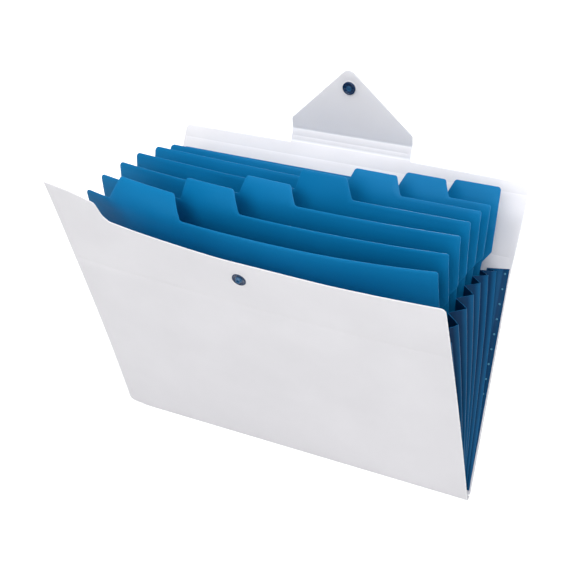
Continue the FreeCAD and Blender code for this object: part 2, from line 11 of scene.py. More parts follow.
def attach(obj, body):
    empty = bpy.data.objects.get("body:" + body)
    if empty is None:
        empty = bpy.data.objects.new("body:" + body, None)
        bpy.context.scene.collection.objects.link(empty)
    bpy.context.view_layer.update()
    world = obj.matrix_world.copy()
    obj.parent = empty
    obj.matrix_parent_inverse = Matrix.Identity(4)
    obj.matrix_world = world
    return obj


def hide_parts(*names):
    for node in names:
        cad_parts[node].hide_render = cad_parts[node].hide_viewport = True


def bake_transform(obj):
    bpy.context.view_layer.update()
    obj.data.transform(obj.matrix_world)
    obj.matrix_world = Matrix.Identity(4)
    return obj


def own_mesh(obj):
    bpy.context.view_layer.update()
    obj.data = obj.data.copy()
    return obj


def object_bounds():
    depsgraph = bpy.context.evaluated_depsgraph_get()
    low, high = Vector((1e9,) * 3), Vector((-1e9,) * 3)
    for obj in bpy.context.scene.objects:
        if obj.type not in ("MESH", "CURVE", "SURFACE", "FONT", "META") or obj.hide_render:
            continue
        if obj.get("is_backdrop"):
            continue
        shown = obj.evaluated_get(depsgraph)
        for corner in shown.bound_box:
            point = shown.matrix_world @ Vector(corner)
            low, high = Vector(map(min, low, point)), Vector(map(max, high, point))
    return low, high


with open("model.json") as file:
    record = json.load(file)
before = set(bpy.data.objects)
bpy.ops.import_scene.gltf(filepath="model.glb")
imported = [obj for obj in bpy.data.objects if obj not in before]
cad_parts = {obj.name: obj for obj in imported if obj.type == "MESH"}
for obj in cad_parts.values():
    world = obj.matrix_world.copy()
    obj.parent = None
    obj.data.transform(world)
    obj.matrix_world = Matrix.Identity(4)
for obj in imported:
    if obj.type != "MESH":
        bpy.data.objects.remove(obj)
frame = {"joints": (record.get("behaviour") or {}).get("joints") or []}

# The looks of an expanding file that stands open on its spine. Lengths are in millimetres and
# are scaled to the frame's metres where a mesh is made. Every sheet is drawn flat in x, along
# the spine, and v, up from its fold line, and is then leaned and bowed. Sheet 0 is the front
# cover, sheets 1 to 7 are the dividers and sheet 8 is the rear cover.

CAD_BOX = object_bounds()
MM = 0.001
JOINTS = {joint["name"]: joint for joint in frame["joints"]}
DIVIDERS = 7
REAR = DIVIDERS + 1
SIDES = {"left": -1, "right": 1}
RIGHT_ANGLE = 90.0

# the creased cover sheet: covers, spine, closing strip and flap
HALF_WIDTH = 165.0
COVER_SHEET = 0.7
HALF_SHEET = COVER_SHEET / 2
COVER_FOOT = 0.3
FRONT_TOP = 239.5
EAR_TOP = 271.5
COVER_HEIGHT = 266.0
CREASE_GAP = 0.15
SPINE_HALF = 3.25
STRIP_DEPTH = 11.0
FLAP_HALF, FLAP_SIDE, FLAP_PEAK = 57.0, 10.0, 65.2

# its foot is a little longer at the right end, and its corners at the left end are cut back
FOOT_RIGHT = 166.8
FOOT_ROUND = 9.0
FOOT_RISE = 3.0
SPINE_LEFT = -154.0

# the web along each crease: its thickness, how far it runs up each sheet, and its ends
WEB, WEB_RUN = 0.5, 1.3
SPINE_WEB = (SPINE_LEFT + 2.5, 164.8)
FLAP_WEB = (0.1 - FLAP_HALF, FLAP_HALF - 0.1)

# score lines pressed across the sheets: height at the left end, height at the right end
SCORES = {
    "front": ((191.0, 187.0),),
    "rear": ((200.7, 200.7), (253.0, 253.0)),
    "strip": ((4.6, 4.6),),
}
SCORE_WIDTH = 1.8
PRESS = 0.16

# bevelled rims: width across the face, and depth
COVER_BEVEL, DIVIDER_BEVEL = (0.8, 0.14), (0.25, 0.1)

# snap: its height on the front cover and on the flap, and the ring pressed round it
SNAP_LEVEL = 219.5
SOCKET_LEVEL = COVER_HEIGHT - SNAP_LEVEL
RING_RADIUS, RING_WIDTH = 7.0, 1.4
# the scale of the turned parts' radii, and the radius inside which a snap part takes a painted
# highlight
SNAP_SCALE, HIGHLIGHT_RADIUS = 0.93, 2.6

# dividers, front to rear
DIVIDER_SHEET = 0.4
DIVIDER_TOPS = (247.0, 246.5, 246.5, 247.5, 247.0, 246.0, 244.0)
DIVIDER_FOOT = 0.9
DIVIDER_HALF, DIVIDER_RIGHT = 142.0, 148.5
DIVIDER_LEFTS = (-152.0, -154.2, -153.0, -151.5, -150.5, -150.5, -150.5)
EAR_LOW, EAR_HIGH = 195.0, 204.5

# tabs: left and right end of the top edge, height, and how far the tab curls back
TABS = (
    (-114.5, -61.5, 19.0, 9.0),
    (-65.5, -22.5, 17.5, 7.0),
    (-26.5, 12.5, 14.5, 6.0),
    (11.0, 49.0, 17.0, 2.0),
    (42.0, 77.5, 14.5, 5.0),
    (75.5, 108.5, 13.0, 5.0),
    (109.0, 147.0, 13.0, 0.0),
)
TAB_SLANT, FIRST_SLANT = 5.5, 12.0
CURL_START, CURL_POWER = 6.0, 1.8

# how far each sheet's top edge stands to the rear of flat at its left end, middle and right end
TOP_BOWS = (
    (8.0, -3.0, -3.5),
    (13.5, -7.5, 2.5),
    (14.5, -5.0, 1.5),
    (14.0, -4.0, 0.0),
    (11.5, -3.5, -3.0),
    (10.0, -3.0, -6.5),
    (9.5, -1.0, -7.0),
    (5.5, -1.0, -3.0),
    (-3.0, 0.0, -7.0),
)
REAR_POWER = 1.5
# how far the covers belly to the rear halfway up, and how far they give way at each score
BELLIES = {0: 3.0, REAR: 1.0}
KINKS = {0: (0.8,), REAR: (0.9, 0.5)}
# a slight wave: its height, and the lengths that set its pitch across and up the sheet
WAVE, WAVE_X, WAVE_V = 0.25, 29, 33
# the front cover is held flat round its snap, and the hold fades out over these lengths
HELD_X, HELD_V = 60.0, 50.0

# gussets: the film's top edge falls away towards the front cover
FILM = 0.25
GUSSET_FOOT = 4.5
GUSSET_TOP, GUSSET_FALL = 189.0, 24.0
# each panel's depth at the top edge, the pleat's depth at its foot, and what some pleats add
PANEL, PANEL_EXTRA = 14.2, {6: -0.6, 7: 0.3, 8: 0.4}
FOOT_DEPTH, FOOT_EXTRA = 19.0, {7: 1.5, 8: 4.0}
# the rounding of the outer fold, the run beside it over which the painted highlight rises, and how
# far a panel bulges halfway up
FOLD_ROUND = 0.8
SHADE_RUN = 3.6
PANEL_BULGE = 0.35
# painted light across the film, from an inner fold to the outer one: painted shade inside the
# pleat, a painted highlight at the outer fold
PLEAT_PAINTED_LIGHT = (0.0, 0.0, 0.0, 0.85, 1.0, 1.0)

# flanges welded to the covers: their inner and outer edges and the outer one's slant
FLANGE_INNER, FLANGE_OUTER, FLANGE_LEAN = 142.15, 160.9, 0.022
# how far a flange lifts off at the pleats, the slope of its top edge, and its gap to the cover
FLANGE_LIFT, FLANGE_RISE, FLANGE_GAP = 1.0, 0.14, 0.02
# painted light across a flange: painted shade in its bend down to the cover, lighter where it
# lifts off
FLANGE_PAINTED_LIGHT = (0.6, 0.6, 0.1, 0.4, 0.4, 0.1, 0.6, 0.6)
# where it bends down to the cover, inwards of its welds, and the length of that bend
BEND_INSET, BEND_RUN = 1.6, 1.2
WELD_INSET, WELD_DROP, WELD_PITCH = 3.0, 2.0, 12.6
WELD_RADIUS, WELD_HEIGHT = 0.9, 0.3


# ---------------------------------------------------------------- leaning, bowed sheets

def travel(joint):
    """The travel from rest to a joint's far limit in degrees, which stands the sheet upright."""
    low, high = JOINTS[joint]["range_deg"]
    return high if abs(high) > abs(low) else low


def fold_of(joint):
    place = JOINTS[joint]["pos_m"]
    return place[1] / MM, place[2] / MM


def flat(x, v):
    return 0.0


class Sheet:
    """A leaning sheet: a fold line, a lean towards +Y and a bow as a function of x and v."""

    def __init__(self, fold, lean, bow=flat):
        angle = math.radians(lean)
        self.fold = fold
        self.up = np.array([0.0, math.sin(angle), math.cos(angle)])
        self.normal = np.array([0.0, math.cos(angle), -math.sin(angle)])
        self.bow = bow

    def place(self, x, v, off=0.0):
        """The point x, v of the sheet, moved off it towards the rear."""
        out = self.bow(x, v) + off
        return np.array([x, *self.fold]) + v * self.up + out * self.normal

    def facing(self, x, v, step=0.5):
        """The unit normal towards the rear where the sheet is bowed."""
        across = self.place(x + step, v) - self.place(x - step, v)
        along = self.place(x, v + step) - self.place(x, v - step)
        normal = np.cross(along, across)
        return normal / np.linalg.norm(normal)


def score_line(ends):
    """A score's height as a function of x."""
    left, right = ends
    return lambda x: left + (right - left) * (x + HALF_WIDTH) / (2 * HALF_WIDTH)


def kinked(v, score, height, depth):
    """A bend at a score: the sheet gives way to the front there and not at its two ends."""
    return -depth * min(v / score, (height - v) / (height - score))


def bow_of(number, height):
    """A bow set at the top edge's ends and middle, which grows from nothing at the fold. A slight
    wave and a belly are added."""
    left, middle, right = TOP_BOWS[number]
    belly = BELLIES.get(number, 0.0)

    def bow(x, v):
        share, along = v / height, x / HALF_WIDTH
        twist = (right - left) / 2 * along
        curve = ((right + left) / 2 - middle) * along ** 2
        wave = WAVE * math.sin(x / WAVE_X + 2 * number) * math.sin(v / WAVE_V + number)
        return share * (middle + twist + curve + wave) + 4 * share * (1 - share) * belly

    return bow


def front_bow():
    """The front cover's bow, with the cover held flat round its snap stud."""
    free = bow_of(0, EAR_TOP)
    score = score_line(SCORES["front"][0])

    def loose(x, v):
        return free(x, v) + kinked(v, score(x), EAR_TOP, KINKS[0][0])

    def bow(x, v):
        near = math.exp(-((x / HELD_X) ** 2) - ((v - SNAP_LEVEL) / HELD_V) ** 2)
        return loose(x, v) - loose(0.0, SNAP_LEVEL) * near

    return bow


def rear_bow():
    """The rear cover's bow, with its top edge held straight along the closing strip."""
    left, _, right = TOP_BOWS[REAR]

    def bow(x, v):
        share = v / COVER_HEIGHT
        along = max(0.0, abs(x) - FLAP_HALF) / (HALF_WIDTH - FLAP_HALF)
        end = left if x < 0 else right
        bends = sum(kinked(v, level, COVER_HEIGHT, depth)
                    for (level, _), depth in zip(SCORES["rear"], KINKS[REAR]))
        belly = 4 * share * (1 - share) * BELLIES[REAR]
        return share * end * along ** REAR_POWER + belly + bends

    return bow


def divider_bow(number):
    """A divider's bow. Its tab also curls back."""
    top = DIVIDER_TOPS[number - 1]
    free = bow_of(number, top)
    _, _, rise, curl = TABS[number - 1]

    def bow(x, v):
        above = max(0.0, v - top + CURL_START) / (rise + CURL_START)
        return free(x, v) + curl * above ** CURL_POWER

    return bow


def make_sheets():
    front_lean = -travel("front_cover_fold")
    sheets = [Sheet(fold_of("front_cover_fold"), front_lean, front_bow())]
    for number in range(1, REAR):
        joint = f"divider_{number}_fold"
        sheets.append(Sheet(fold_of(joint), travel(joint), divider_bow(number)))
    sheets.append(Sheet(fold_of("rear_cover_fold"), travel("rear_cover_fold"), rear_bow()))
    return sheets


SHEETS = make_sheets()
STRIP_LEAN = travel("rear_cover_fold") - RIGHT_ANGLE + JOINTS["closing_strip_fold"]["range_deg"][1]
FLAP_LEAN = STRIP_LEAN - RIGHT_ANGLE + JOINTS["closing_flap_fold"]["range_deg"][1]
STRIP = Sheet(fold_of("closing_strip_fold"), STRIP_LEAN)
FLAP = Sheet(fold_of("closing_flap_fold"), FLAP_LEAN)
SPINE = Sheet((-SPINE_HALF, HALF_SHEET), RIGHT_ANGLE)


def film_top(number):
    """Height of the gusset film's top edge on a sheet."""
    return GUSSET_TOP - GUSSET_FALL * ((REAR - number) / REAR) ** 2


# ---------------------------------------------------------------- outlines

def rounded(corners, steps=8):
    """A counter-clockwise outline with round corners. A corner is x, v and its radius."""
    points = []
    count = len(corners)
    for index, (x, v, radius) in enumerate(corners):
        here = np.array([x, v], float)
        if radius == 0:
            points.append(here)
            continue
        before = np.array(corners[index - 1][:2], float) - here
        after = np.array(corners[(index + 1) % count][:2], float) - here
        before /= np.linalg.norm(before)
        after /= np.linalg.norm(after)
        half = math.acos(np.clip(before @ after, -1, 1)) / 2
        middle = (before + after) / np.linalg.norm(before + after)
        centre = here + middle * radius / math.sin(half)
        first = here + before * radius / math.tan(half) - centre
        last = here + after * radius / math.tan(half) - centre
        turn = math.atan2(first[0] * last[1] - first[1] * last[0], first @ last)
        for step in range(steps + 1):
            cosine, sine = math.cos(turn * step / steps), math.sin(turn * step / steps)
            points.append(centre + np.array([[cosine, -sine], [sine, cosine]]) @ first)
    return np.array(points)


def divided(outline, step):
    """The outline with its long edges cut to about one step."""
    points = []
    for index, start in enumerate(outline):
        end = outline[(index + 1) % len(outline)]
        pieces = max(1, round(float(np.linalg.norm(end - start)) / step))
        points += [start + (end - start) * piece / pieces for piece in range(pieces)]
    return np.array(points)


def inset(outline, depth):
    """The outline moved inwards."""
    before = outline - np.roll(outline, 1, axis=0)
    after = np.roll(outline, -1, axis=0) - outline
    before /= np.linalg.norm(before, axis=1, keepdims=True)
    after /= np.linalg.norm(after, axis=1, keepdims=True)
    inward = np.stack([-(before + after)[:, 1], (before + after)[:, 0]], axis=1)
    length = np.linalg.norm(inward, axis=1, keepdims=True)
    return outline + inward / length * depth / np.clip(length / 2, 0.5, 1)


def inside(points, outline):
    """Whether each point is inside the outline."""
    result = np.zeros(len(points), bool)
    for start, end in zip(outline, np.roll(outline, -1, axis=0)):
        crosses = (start[1] > points[:, 1]) != (end[1] > points[:, 1])
        rise = end[1] - start[1] or 1e-12
        meet = (end[0] - start[0]) * (points[:, 1] - start[1]) / rise + start[0]
        result ^= crosses & (points[:, 0] < meet)
    return result


def front_outline():
    """The front cover: its top edge sweeps up to a raised ear at the left end, where its foot
    rises a little."""
    return rounded([
        (-HALF_WIDTH, COVER_FOOT + FOOT_RISE, 5.5),
        (-143.0, COVER_FOOT, 60.0),
        (FOOT_RIGHT, COVER_FOOT, 2.0),
        (163.3, FRONT_TOP + 1.5, 4.0),
        (75.0, FRONT_TOP - 1.1, 400.0),
        (-12.0, FRONT_TOP - 1.1, 300.0),
        (-88.0, 245.0, 80.0),
        (-109.6, 247.6, 3.5),
        (-114.4, 252.0, 8.0),
        (-117.8, 264.8, 5.0),
        (-140.0, 270.3, 100.0),
        (-HALF_WIDTH, EAR_TOP + 1.4, 1.2),
    ])


def rear_outline():
    """The rear cover. Its top edge is a little lower on both sides of the closing strip."""
    notch = FLAP_HALF + CREASE_GAP
    crease, shoulder = COVER_HEIGHT - COVER_FOOT, COVER_HEIGHT - 1.6
    return rounded([
        (-HALF_WIDTH, COVER_FOOT, FOOT_ROUND),
        (FOOT_RIGHT, COVER_FOOT, 2.0),
        (162.3, 185.0, 150.0),
        (164.6, COVER_HEIGHT - 3.5, 4.0),
        (notch + 0.4, shoulder, 0),
        (notch, crease, 0),
        (-notch, crease, 0),
        (-notch - 0.4, shoulder, 0),
        (-163.6, COVER_HEIGHT - 1.8, 4.0),
    ])


def band_outline(left, right, low, high, rounds=(0.0, 0.0)):
    """A rectangle along a fold, with the rounding of its left and right corners."""
    start, end = rounds
    return rounded([(left, low, start), (right, low, end), (right, high, end),
                    (left, high, start)], steps=5)


def flap_outline():
    return rounded([
        (-FLAP_HALF, COVER_FOOT, 0),
        (FLAP_HALF, COVER_FOOT, 0),
        (FLAP_HALF, FLAP_SIDE, 3.0),
        (0, FLAP_PEAK, 7.5),
        (-FLAP_HALF, FLAP_SIDE, 3.0),
    ], steps=12)


def divider_outline(number):
    """A divider: narrow between the gussets, with wider ears above them and its tab on top."""
    top = DIVIDER_TOPS[number - 1]
    tab_left, tab_right, rise, _ = TABS[number - 1]
    left = DIVIDER_LEFTS[number - 1]
    slant = FIRST_SLANT if number == 1 else TAB_SLANT
    corners = [
        (-DIVIDER_HALF, DIVIDER_FOOT, 0),
        (DIVIDER_HALF, DIVIDER_FOOT, 0),
        (DIVIDER_HALF, EAR_LOW, 3.0),
        (DIVIDER_RIGHT, EAR_HIGH, 3.0),
    ]
    if tab_right + TAB_SLANT < DIVIDER_RIGHT:
        corners += [
            (DIVIDER_RIGHT, top, 1.8),
            (tab_right + TAB_SLANT, top, 2.5),
        ]
    corners += [
        (tab_right, top + rise, 2.8),
        (tab_left, top + rise, 2.8),
        (tab_left - slant, top, 2.5),
        (left, top, 4.0),
        (left, EAR_HIGH, 3.0),
        (-DIVIDER_HALF, EAR_LOW, 3.0),
    ]
    return rounded(corners)


# ---------------------------------------------------------------- meshes

def new_object(name, points, faces, materials, second=(), sharp=30.0, weld=0.001, tints=None):
    """A closed, smooth mesh. The faces listed in second take the second material. The tints are a
    value of painted light at each point, for a material that reads them."""
    mesh = bpy.data.meshes.new(name)
    mesh.from_pydata([tuple(float(part) * MM for part in point) for point in points], [], faces)
    if tints is not None:
        mesh.attributes.new("painted_light", "FLOAT", "POINT").data.foreach_set("value", tints)
    for material in materials:
        mesh.materials.append(material)
    for index in second:
        mesh.polygons[index].material_index = 1
    work = bmesh.new()
    work.from_mesh(mesh)
    bmesh.ops.remove_doubles(work, verts=work.verts, dist=weld * MM)
    bmesh.ops.recalc_face_normals(work, faces=work.faces)
    for face in work.faces:
        face.smooth = True
    work.to_mesh(mesh)
    work.free()
    mesh.set_sharp_from_angle(angle=math.radians(sharp))
    piece = bpy.data.objects.new(name, mesh)
    bpy.context.scene.collection.objects.link(piece)
    return piece


def relief_of(scores, ring):
    """How far the sheet is pressed out of its plane, as a share: 1 on a score or on the ring."""
    lines = [score_line(ends) for ends in scores]

    def share(x, v):
        away = [abs(v - line(x)) / (SCORE_WIDTH / 2) for line in lines]
        if ring is not None:
            away.append(abs(math.hypot(x, v - ring) - RING_RADIUS) / (RING_WIDTH / 2))
        return max(0.0, 1 - min(away, default=1.0))

    return share


def sheet_points(border, step, scores, ring):
    """Points inside a border: a grid, with close rows along the scores and round the ring."""
    low, high = border.min(axis=0), border.max(axis=0)
    grid_x = np.arange(low[0] + step / 2, high[0], step)
    grid_v = np.arange(low[1] + step / 2, high[1], step)
    lines = [score_line(ends) for ends in scores]
    shares = (-0.5, -0.25, 0.0, 0.25, 0.5)
    grid = [(x, v) for v in grid_v for x in grid_x
            if all(abs(v - line(x)) > 0.6 * step for line in lines)]
    rows = [(x, line(x) + SCORE_WIDTH * share)
            for line in lines for share in shares for x in grid_x]
    if ring is not None:
        grid = [(x, v) for x, v in grid if math.hypot(x, v - ring) > RING_RADIUS + step / 2]
        turns = np.linspace(0, 2 * math.pi, 48, endpoint=False)
        radii = [RING_RADIUS + RING_WIDTH * share for share in shares]
        rows += [(radius * math.cos(turn), ring + radius * math.sin(turn))
                 for radius in radii for turn in turns]
    points = np.array(grid + rows)
    return points[inside(points, inset(border, 1.5))]


def sheet_object(name, sheet, outline, thickness, materials, step=6.0, scores=(), ring=None,
                 rim=COVER_BEVEL):
    """A bowed sheet with thickness, pressed scores and bevelled rims, cut to an outline."""
    width, bevel = rim
    border = divided(outline, step)
    face_border = inset(border, width)
    count = len(border)
    seeds = [Vector(point) for point in [*face_border, *sheet_points(border, step, scores, ring)]]
    edges = [(index, (index + 1) % count) for index in range(count)]
    found, _, triangles, _, _, _ = delaunay_2d_cdt(seeds, edges, [], 1, 1e-5)
    half = thickness / 2
    relief = relief_of(scores, ring)

    def skin(spots, off, press=0.0):
        return [sheet.place(x, v) + (off + press * relief(x, v)) * sheet.facing(x, v)
                for x, v in spots]

    points = skin(found, -half, PRESS) + skin(found, half, PRESS / 2)
    faces = [[base + index for index in triangle]
             for base in (0, len(found)) for triangle in triangles]
    starts = []
    for spots, off, press in ((face_border, -half, PRESS), (border, bevel - half, 0.0),
                              (border, half - bevel, 0.0), (face_border, half, PRESS / 2)):
        starts.append(len(points))
        points += skin(spots, off, press)
    # the rim faces take the second material, painted lighter as a highlight along the edges
    rims = range(len(faces), len(faces) + 3 * count)
    for lower, upper in zip(starts, starts[1:]):
        for index in range(count):
            after = (index + 1) % count
            faces.append([upper + index, upper + after, lower + after, lower + index])
    return new_object(name, points, faces, materials, rims)


def ribbon_outline(line, thickness):
    """The closed outline of a film that follows a line of points in its own plane."""
    line = np.array(line, float)
    runs = np.diff(line, axis=0)
    runs /= np.linalg.norm(runs, axis=1, keepdims=True)
    across = np.stack([-runs[:, 1], runs[:, 0]], axis=1)
    sides = [across[0]]
    for first, second in zip(across, across[1:]):
        middle = (first + second) / np.linalg.norm(first + second)
        sides.append(middle / max(0.35, float(middle @ first)))
    sides.append(across[-1])
    sides = np.array(sides) * thickness / 2
    return np.concatenate([line + sides, (line - sides)[::-1]])


def lofted_object(name, sections, materials, sharp=40.0, tints=None):
    """A closed skin through equal closed sections. Its end faces take the second material, here a
    painted highlight. The tints are a value of painted light at each point of a section."""
    count = len(sections[0])
    points = [point for section in sections for point in section]
    last = (len(sections) - 1) * count
    faces = [list(range(count)), [last + index for index in range(count)]]
    for low in range(0, last, count):
        for index in range(count):
            after = (index + 1) % count
            high = low + count
            faces.append([low + index, low + after, high + after, high + index])
    if tints is not None:
        tints = list(tints) * len(sections)
    return new_object(name, points, faces, materials, (0, 1), sharp, weld=0.0005, tints=tints)


# ---------------------------------------------------------------- materials

def srgb(red, green, blue):
    """A colour as it looks on screen, from 0 to 255, as linear light."""
    def linear(value):
        value /= 255
        return value / 12.92 if value <= 0.04045 else ((value + 0.055) / 1.055) ** 2.4
    return linear(red), linear(green), linear(blue), 1.0


class Nodes:
    """A material's node tree, with short calls for the nodes used here."""

    def __init__(self, name):
        self.material = bpy.data.materials.new(name)
        self.material.use_nodes = True
        self.tree = self.material.node_tree
        self.shader = self.tree.nodes["Principled BSDF"]
        self.places = self.tree.nodes.new("ShaderNodeTexCoord").outputs["Object"]

    def add(self, kind):
        return self.tree.nodes.new(kind)

    def link(self, output, target):
        self.tree.links.new(output, target)

    def stretched(self, scale):
        node = self.add("ShaderNodeMapping")
        node.inputs["Scale"].default_value = scale
        self.link(self.places, node.inputs["Vector"])
        return node.outputs["Vector"]

    def noise(self, scale, detail=2.0, vector=None):
        node = self.add("ShaderNodeTexNoise")
        node.inputs["Scale"].default_value = scale
        node.inputs["Detail"].default_value = detail
        self.link(vector or self.places, node.inputs["Vector"])
        return node.outputs["Fac"]

    def spread(self, value, low, high, start=0.3, end=0.7):
        node = self.add("ShaderNodeMapRange")
        for key, number in (("From Min", start), ("From Max", end),
                            ("To Min", low), ("To Max", high)):
            node.inputs[key].default_value = number
        self.link(value, node.inputs["Value"])
        return node.outputs["Result"]

    def between(self, value, dark, light):
        """A colour between two, by a value from 0 to 1."""
        node = self.add("ShaderNodeValToRGB")
        node.color_ramp.elements[0].color = dark
        node.color_ramp.elements[1].color = light
        self.link(value, node.inputs["Fac"])
        return node.outputs["Color"]

    def mixed(self, first, second, share):
        node = self.add("ShaderNodeMix")
        node.inputs["Factor"].default_value = share
        self.link(first, node.inputs["A"])
        self.link(second, node.inputs["B"])
        return node.outputs["Result"]

    def bump(self, height, strength, distance, before=None):
        node = self.add("ShaderNodeBump")
        node.inputs["Strength"].default_value = strength
        node.inputs["Distance"].default_value = distance
        self.link(height, node.inputs["Height"])
        if before is not None:
            self.link(before, node.inputs["Normal"])
        return node.outputs["Normal"]

    def finish(self, colour, roughness, normal, specular):
        self.link(colour, self.shader.inputs["Base Color"])
        self.link(roughness, self.shader.inputs["Roughness"])
        self.link(normal, self.shader.inputs["Normal"])
        self.shader.inputs["Specular IOR Level"].default_value = specular
        return self.material


def plastic(name, dark, light, rough, grain, streaks, specular, paints_light=False):
    """Extruded plastic: cloudy colour, a fine pressed grain and faint lengthwise streaks. A sheet
    that reads the mesh's painted light goes from dark to light with it: painted shade deep in the
    film's pleats and at its flange bends, painted highlights at the outer folds and on the snaps'
    centres."""
    nodes = Nodes(name)
    cloud = nodes.spread(nodes.noise(14.0, 3.0), 0, 1)
    if paints_light:
        # painted light: the mesh's value sets most of the colour, dark for painted shade and light
        # for a painted highlight
        painted_light = nodes.add("ShaderNodeAttribute")
        painted_light.attribute_name = "painted_light"
        cloud = nodes.mixed(cloud, painted_light.outputs["Fac"], 0.85)
    lengthwise = nodes.noise(60.0, 4.0, nodes.stretched((0.15, 3.0, 3.0)))
    fine = nodes.bump(nodes.noise(3200.0), grain, 0.00005)
    normal = nodes.bump(lengthwise, streaks, 0.0002, fine)
    colour = nodes.between(cloud, srgb(*dark), srgb(*light))
    return nodes.finish(colour, nodes.spread(lengthwise, *rough), normal, specular)


MATERIALS = {
    "cover": plastic("cover_sheet", (236, 235, 239), (242, 241, 245), (0.36, 0.46),
                     0.25, 0.08, 0.35),
    # the rims are the cover's plastic painted lighter: a painted highlight along the edges and on
    # the crease webs
    "cover_rim_highlight": plastic("cover_rim_highlight", (247, 247, 251), (252, 252, 255), (0.24, 0.32),
                         0.1, 0.05, 0.5),
    # the flap is the cover's plastic painted lighter: painted light for how brightly it is lit
    "flap": plastic("flap_sheet_painted_light", (244, 243, 246), (248, 247, 250), (0.44, 0.54),
                    0.25, 0.06, 0.25),
    "divider": plastic("divider_sheet", (5, 115, 170), (11, 121, 177), (0.42, 0.52),
                       0.3, 0.10, 0.12),
    # the divider rims are the divider plastic painted lighter: a painted highlight along the edges
    "divider_rim_highlight": plastic("divider_rim_highlight", (8, 124, 184), (16, 130, 190), (0.3, 0.4),
                           0.1, 0.05, 0.2),
    # the film's colour runs from painted shade inside its pleats to a painted highlight at its
    # outer folds
    "gusset": plastic("gusset_film_painted_light", (0, 48, 88), (22, 98, 148), (0.40, 0.50),
                      0.15, 0.20, 0.12, paints_light=True),
    # the film's end faces are painted lighter: a painted highlight along its top edges
    "gusset_rim_highlight": plastic("gusset_rim_highlight", (24, 116, 178), (36, 128, 188), (0.3, 0.4),
                          0.1, 0.05, 0.3),
    "weld": plastic("weld_dot", (70, 144, 180), (92, 160, 192), (0.3, 0.4),
                    0.1, 0.1, 0.4),
    # the snap plastic's light end is a painted highlight on the centres of the stud and socket
    "snap": plastic("snap_plastic_highlight", (0, 36, 74), (60, 116, 160), (0.14, 0.22),
                    0.1, 0.1, 0.3, paints_light=True),
}


# ---------------------------------------------------------------- pieces

def dress(piece, body, slot, *nodes):
    """Ride on a body and stand for CAD nodes, which are hidden. The slot is not used."""
    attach(piece, body)
    if nodes:
        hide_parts(*nodes)
    return piece


def flatten(piece):
    """Gives the piece a mesh of its own."""
    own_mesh(piece)
    return piece


def add_covers():
    white = [MATERIALS["cover"], MATERIALS["cover_rim_highlight"]]
    front = sheet_object("front_cover_sheet", SHEETS[0], front_outline(), COVER_SHEET, white,
                         scores=SCORES["front"], ring=SNAP_LEVEL)
    flatten(dress(front, "front_cover", "cover_sheet", "front_cover"))
    rear = sheet_object("rear_cover_sheet", SHEETS[REAR], rear_outline(), COVER_SHEET, white,
                        scores=SCORES["rear"])
    flatten(dress(rear, "rear_cover", "cover_sheet", "rear_cover"))
    band = band_outline(SPINE_LEFT, FOOT_RIGHT, 0, 2 * SPINE_HALF, (3.2, 1.0))
    spine = sheet_object("spine_sheet", SPINE, band, COVER_SHEET, white)
    dress(spine, "spine", "cover_sheet", "bottom_spine")


def add_closure():
    """The strip that crosses the top edge when the file is shut, and the pointed flap."""
    rim = MATERIALS["cover_rim_highlight"]
    outline = band_outline(-FLAP_HALF, FLAP_HALF, COVER_FOOT, STRIP_DEPTH - COVER_FOOT)
    strip = sheet_object("closing_strip_sheet", STRIP, outline, COVER_SHEET,
                         [MATERIALS["cover"], rim], step=3.0, scores=SCORES["strip"])
    dress(strip, "closing_strip", "cover_sheet", "closing_strip")
    flap = sheet_object("closing_flap_sheet", FLAP, flap_outline(), COVER_SHEET,
                        [MATERIALS["flap"], rim], ring=SOCKET_LEVEL)
    dress(flap, "closing_flap", "cover_sheet", "closing_flap")


def add_web(name, ends, bends):
    """The thin web along a crease, a curve from one sheet to the next that is drawn towards
    the crease between them."""
    start, crease, end = bends
    line = []
    for share in np.linspace(0, 1, 9):
        first, last = (1 - share) * start + share * crease, (1 - share) * crease + share * end
        line.append(((1 - share) * first + share * last)[1:])
    section = ribbon_outline(line, WEB)
    sections = [[np.array([x, *point]) for point in section] for x in np.linspace(*ends, 30)]
    # the web takes the rims' lighter colour, a painted highlight along the crease
    rim = MATERIALS["cover_rim_highlight"]
    piece = lofted_object(name, sections, [rim, rim])
    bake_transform(piece)


def add_webs():
    front, rear, spine_end = SHEETS[0], SHEETS[REAR], 2 * SPINE_HALF
    add_web("front_crease_web", SPINE_WEB,
            (SPINE.place(0, WEB_RUN), SPINE.place(0, 0), front.place(0, WEB_RUN)))
    add_web("rear_crease_web", SPINE_WEB,
            (SPINE.place(0, spine_end - WEB_RUN), SPINE.place(0, spine_end),
             rear.place(0, WEB_RUN)))
    add_web("strip_crease_web", FLAP_WEB,
            (rear.place(0, COVER_HEIGHT - WEB_RUN), STRIP.place(0, 0), STRIP.place(0, WEB_RUN)))
    add_web("flap_crease_web", FLAP_WEB,
            (STRIP.place(0, STRIP_DEPTH - WEB_RUN), FLAP.place(0, 0), FLAP.place(0, WEB_RUN)))


def add_dividers():
    blue = [MATERIALS["divider"], MATERIALS["divider_rim_highlight"]]
    for number in range(1, REAR):
        name = f"divider_{number}"
        piece = sheet_object(f"{name}_sheet", SHEETS[number], divider_outline(number),
                             DIVIDER_SHEET, blue, rim=DIVIDER_BEVEL)
        flatten(dress(piece, name, "divider_sheet", name))


